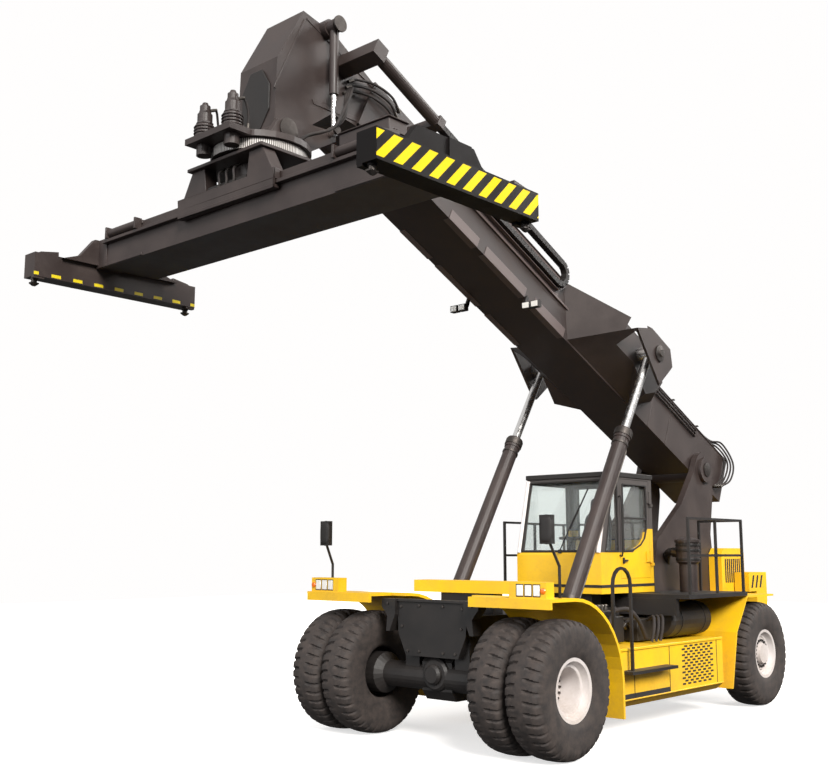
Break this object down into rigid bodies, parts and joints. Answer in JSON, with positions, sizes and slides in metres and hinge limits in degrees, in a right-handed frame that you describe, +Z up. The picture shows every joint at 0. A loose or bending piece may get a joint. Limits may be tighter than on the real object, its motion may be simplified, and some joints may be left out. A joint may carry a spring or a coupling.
{
  "type": "reach stacker",
  "caption": "Reach stacker for shipping containers: yellow chassis, glazed cab, lifting telescopic boom and an extending spreader with twistlocks.",
  "frame": {"origin": "middle of the bounding box, on the ground under the machine", "axes": "+X forward (towards the spreader), +Y to the driver's left, +Z up"},
  "size_m": [11.86, 6.1, 8.7324],
  "materials": {
    "charcoal_paint": "satin",
    "yellow_paint": "gloss",
    "black_paint": "satin",
    "tyre_rubber": "matte",
    "chrome": "polished",
    "window_glass": "clear",
    "cast_steel": "rough",
    "seat_cloth": "matte"
  },
  "bodies": {
    "chassis": {"chassis_frame": "black_paint", "front_axle": "black_paint", "front_plate": "black_paint", "deck_beam": "yellow_paint", "boom_tower": "charcoal_paint", "engine_block": "cast_steel", "engine_hood": "yellow_paint", "counterweight": "yellow_paint", "exhaust_muffler": "black_paint", "air_cleaner": "charcoal_paint", "access_steps": "black_paint", "cab_shell": "yellow_paint", "cab_glass": "window_glass", "driver_seat": "seat_cloth", "steering_column": "black_paint", "rear_axle": "black_paint", "fender_left": "yellow_paint", "fender_right": "yellow_paint", "side_tank_left": "yellow_paint", "side_tank_right": "yellow_paint", "rear_guard_left": "yellow_paint", "rear_guard_right": "yellow_paint", "walkway_left": "black_paint", "walkway_right": "black_paint", "mirror_left": "black_paint", "mirror_right": "black_paint"},
    "cab_door": {"cab_door": "yellow_paint", "door_glass": "window_glass"},
    "wheel_front_left": {"wheel_front_left": "tyre_rubber"},
    "knuckle_left": {"knuckle_left": "cast_steel"},
    "wheel_rear_left": {"wheel_rear_left": "tyre_rubber"},
    "lift_barrel_left": {"lift_barrel_left": "charcoal_paint"},
    "lift_rod_left": {"lift_rod_left": "chrome"},
    "damper_barrel_left": {"damper_barrel_left": "charcoal_paint"},
    "damper_rod_left": {"damper_rod_left": "chrome"},
    "end_beam_left": {"end_beam_left": "charcoal_paint"},
    "twistlock_front_left": {"twistlock_front_left": "cast_steel"},
    "twistlock_rear_left": {"twistlock_rear_left": "cast_steel"},
    "wheel_front_right": {"wheel_front_right": "tyre_rubber"},
    "knuckle_right": {"knuckle_right": "cast_steel"},
    "wheel_rear_right": {"wheel_rear_right": "tyre_rubber"},
    "lift_barrel_right": {"lift_barrel_right": "charcoal_paint"},
    "lift_rod_right": {"lift_rod_right": "chrome"},
    "damper_barrel_right": {"damper_barrel_right": "charcoal_paint"},
    "damper_rod_right": {"damper_rod_right": "chrome"},
    "end_beam_right": {"end_beam_right": "charcoal_paint"},
    "twistlock_front_right": {"twistlock_front_right": "cast_steel"},
    "twistlock_rear_right": {"twistlock_rear_right": "cast_steel"},
    "outer_boom": {"outer_boom": "charcoal_paint"},
    "inner_boom": {"inner_boom": "charcoal_paint"},
    "rotator_yoke": {"rotator_yoke": "charcoal_paint"},
    "rotating_frame": {"rotating_frame": "charcoal_paint"},
    "spreader_frame": {"spreader_frame": "charcoal_paint"}
  },
  "joints": [
    {"name": "boom_lift", "type": "hinge", "parent": "chassis", "child": "outer_boom", "pos_m": [-4.78, 0, 3.82], "axis": [0, -1, 0], "range_deg": [-25, 35]},
    {"name": "boom_extend", "type": "slide", "parent": "outer_boom", "child": "inner_boom", "axis": [0.9063, 0, 0.4226], "range_m": [0, 6.3]},
    {"name": "head_tilt", "type": "hinge", "parent": "inner_boom", "child": "rotator_yoke", "pos_m": [4.67, 0, 7.14], "axis": [0, -1, 0], "range_deg": [-35.5, 25.5]},
    {"name": "lift_barrel_left_swing", "type": "hinge", "parent": "chassis", "child": "lift_barrel_left", "pos_m": [0.31, 1, 1.37], "axis": [0, -1, 0], "range_deg": [-1.5, 2]},
    {"name": "lift_rod_left_stroke", "type": "slide", "parent": "lift_barrel_left", "child": "lift_rod_left", "axis": [-0.5319, 0, 0.8468], "range_m": [-1.258, 1.759]},
    {"name": "damper_barrel_left_swing", "type": "hinge", "parent": "inner_boom", "child": "damper_barrel_left", "pos_m": [4.02, 0.48, 8.62], "axis": [0, -1, 0], "range_deg": [-4.5, 6]},
    {"name": "damper_rod_left_stroke", "type": "slide", "parent": "damper_barrel_left", "child": "damper_rod_left", "axis": [0, 0, -1], "range_m": [-0.358, 0.257]},
    {"name": "lift_barrel_right_swing", "type": "hinge", "parent": "chassis", "child": "lift_barrel_right", "pos_m": [0.31, -1, 1.37], "axis": [0, -1, 0], "range_deg": [-1.5, 2]},
    {"name": "lift_rod_right_stroke", "type": "slide", "parent": "lift_barrel_right", "child": "lift_rod_right", "axis": [-0.5319, 0, 0.8468], "range_m": [-1.258, 1.759]},
    {"name": "damper_barrel_right_swing", "type": "hinge", "parent": "inner_boom", "child": "damper_barrel_right", "pos_m": [4.02, -0.48, 8.62], "axis": [0, -1, 0], "range_deg": [-4.5, 6]},
    {"name": "damper_rod_right_stroke", "type": "slide", "parent": "damper_barrel_right", "child": "damper_rod_right", "axis": [0, 0, -1], "range_m": [-0.358, 0.257]},
    {"name": "rotator_slew", "type": "hinge", "parent": "rotator_yoke", "child": "rotating_frame", "pos_m": [4.73, 0, 6.93], "axis": [0, 0, 1], "range_deg": [-95, 185]},
    {"name": "side_shift", "type": "slide", "parent": "rotating_frame", "child": "spreader_frame", "axis": [0, -1, 0], "range_m": [-0.8, 0.8]},
    {"name": "spreader_extend_left", "type": "slide", "parent": "spreader_frame", "child": "end_beam_left", "axis": [0, 1, 0], "range_m": [0, 3.05]},
    {"name": "spreader_extend_right", "type": "slide", "parent": "spreader_frame", "child": "end_beam_right", "axis": [0, -1, 0], "range_m": [0, 3.05]},
    {"name": "twistlock_front_left_turn", "type": "hinge", "parent": "end_beam_left", "child": "twistlock_front_left", "pos_m": [5.86, 2.927, 5.745], "axis": [0, 0, 1], "range_deg": [0, 90]},
    {"name": "twistlock_rear_left_turn", "type": "hinge", "parent": "end_beam_left", "child": "twistlock_rear_left", "pos_m": [3.6, 2.927, 5.745], "axis": [0, 0, 1], "range_deg": [0, 90]},
    {"name": "twistlock_front_right_turn", "type": "hinge", "parent": "end_beam_right", "child": "twistlock_front_right", "pos_m": [5.86, -2.927, 5.745], "axis": [0, 0, 1], "range_deg": [0, 90]},
    {"name": "twistlock_rear_right_turn", "type": "hinge", "parent": "end_beam_right", "child": "twistlock_rear_right", "pos_m": [3.6, -2.927, 5.745], "axis": [0, 0, 1], "range_deg": [0, 90]},
    {"name": "wheel_front_left_spin", "type": "hinge", "parent": "chassis", "child": "wheel_front_left", "pos_m": [1.52, 1.24, 0.81], "axis": [0, 1, 0], "continuous": true},
    {"name": "steering_left", "type": "hinge", "parent": "chassis", "child": "knuckle_left", "pos_m": [-4.48, 1.08, 0.81], "axis": [0, 0, 1], "range_deg": [-40, 40]},
    {"name": "wheel_rear_left_spin", "type": "hinge", "parent": "knuckle_left", "child": "wheel_rear_left", "pos_m": [-4.48, 1.44, 0.81], "axis": [0, 1, 0], "continuous": true},
    {"name": "wheel_front_right_spin", "type": "hinge", "parent": "chassis", "child": "wheel_front_right", "pos_m": [1.52, -1.24, 0.81], "axis": [0, 1, 0], "continuous": true},
    {"name": "steering_right", "type": "hinge", "parent": "chassis", "child": "knuckle_right", "pos_m": [-4.48, -1.08, 0.81], "axis": [0, 0, 1], "range_deg": [-40, 40]},
    {"name": "wheel_rear_right_spin", "type": "hinge", "parent": "knuckle_right", "child": "wheel_rear_right", "pos_m": [-4.48, -1.44, 0.81], "axis": [0, 1, 0], "continuous": true},
    {"name": "cab_door_swing", "type": "hinge", "parent": "chassis", "child": "cab_door", "pos_m": [-2.525, 0.7707, 2.76], "axis": [0, 0, 1], "range_deg": [0, 85]}
  ],
  "couplings": [
    {"joint": "head_tilt", "follows": "boom_lift", "ratio": -1},
    {"joint": "lift_barrel_left_swing", "follows": "boom_lift", "ratio": 0.05},
    {"joint": "lift_rod_left_stroke", "follows": "boom_lift", "m_per_rad": 2.871},
    {"joint": "damper_barrel_left_swing", "follows": "boom_lift", "ratio": 0.16},
    {"joint": "damper_rod_left_stroke", "follows": "boom_lift", "m_per_rad": -0.58},
    {"joint": "lift_barrel_right_swing", "follows": "boom_lift", "ratio": 0.05},
    {"joint": "lift_rod_right_stroke", "follows": "boom_lift", "m_per_rad": 2.871},
    {"joint": "damper_barrel_right_swing", "follows": "boom_lift", "ratio": 0.16},
    {"joint": "damper_rod_right_stroke", "follows": "boom_lift", "m_per_rad": -0.58},
    {"joint": "spreader_extend_right", "follows": "spreader_extend_left", "ratio": 1},
    {"joint": "twistlock_rear_left_turn", "follows": "twistlock_front_left_turn", "ratio": 1},
    {"joint": "twistlock_front_right_turn", "follows": "twistlock_front_left_turn", "ratio": 1},
    {"joint": "twistlock_rear_right_turn", "follows": "twistlock_front_left_turn", "ratio": 1},
    {"joint": "steering_right", "follows": "steering_left", "ratio": 1}
  ]
}
